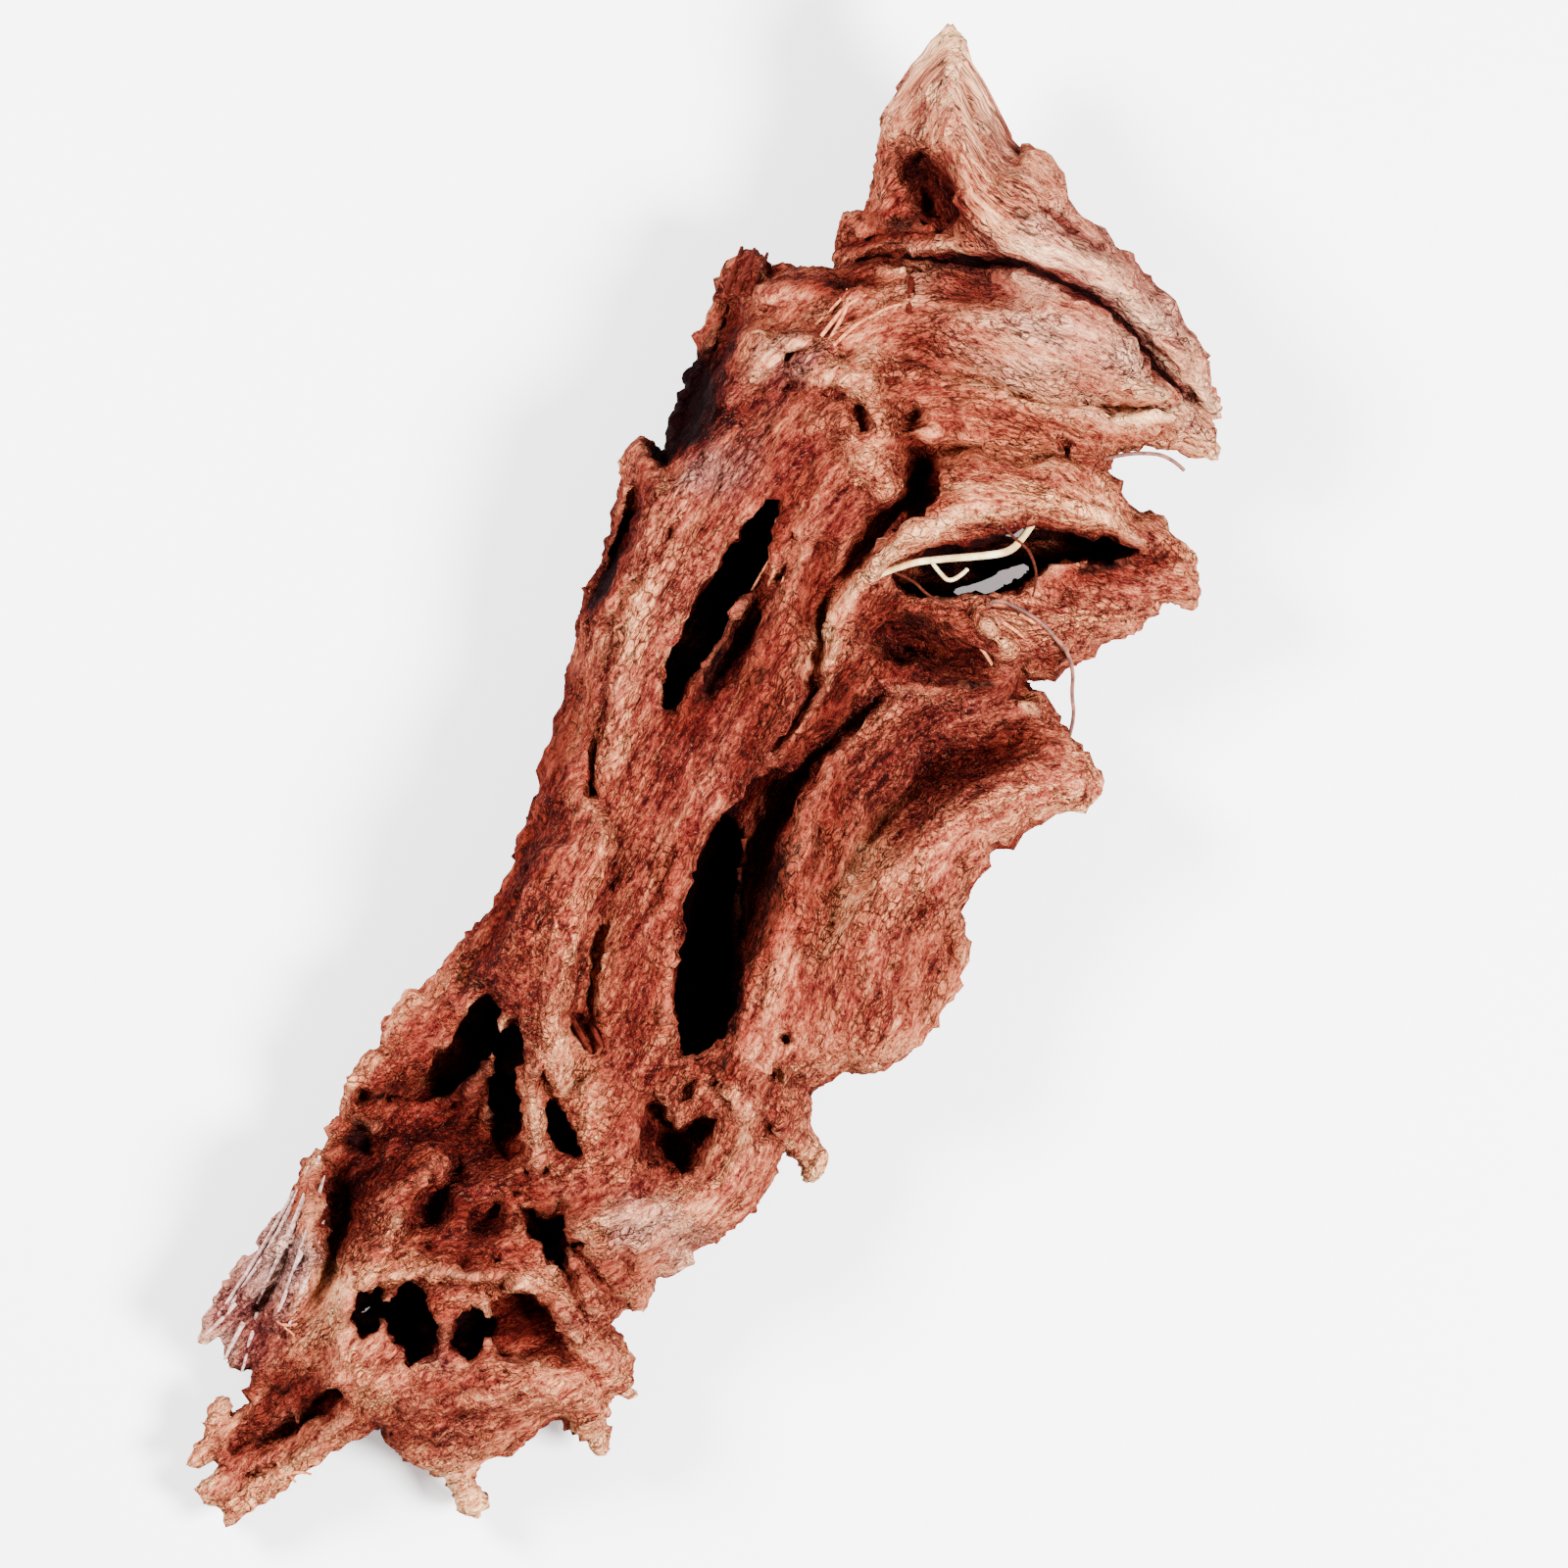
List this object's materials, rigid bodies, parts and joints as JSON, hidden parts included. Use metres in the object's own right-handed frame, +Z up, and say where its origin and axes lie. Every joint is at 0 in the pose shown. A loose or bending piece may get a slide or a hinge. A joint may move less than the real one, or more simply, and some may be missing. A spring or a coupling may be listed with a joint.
{
  "type": "mangrove driftwood",
  "caption": "Long weathered root buttress of orange-brown driftwood, with deep grooves, caves and broken spikes, lying on three low feet, with dried rootlets in its arched slot",
  "frame": {"origin": "centre of the bounding box on the floor that the piece rests on", "axes": "+Y along the length towards the pointed tip, +X to the side with the arched slot, +Z up out of the face that the picture shows"},
  "size_m": [0.1486, 0.4236, 0.0743],
  "materials": {
    "weathered_wood": "dry, unsealed, weathered, with pale worn edges and dark red-brown hollows",
    "pale_root": "dry, straw-coloured, smooth",
    "brown_root": "dry, dark brown, smooth"
  },
  "bodies": {
    "root": {"driftwood": "weathered_wood", "pale_rootlet": "pale_root", "hanging_rootlet": "brown_root", "edge_rootlet": "brown_root"}
  },
  "joints": []
}
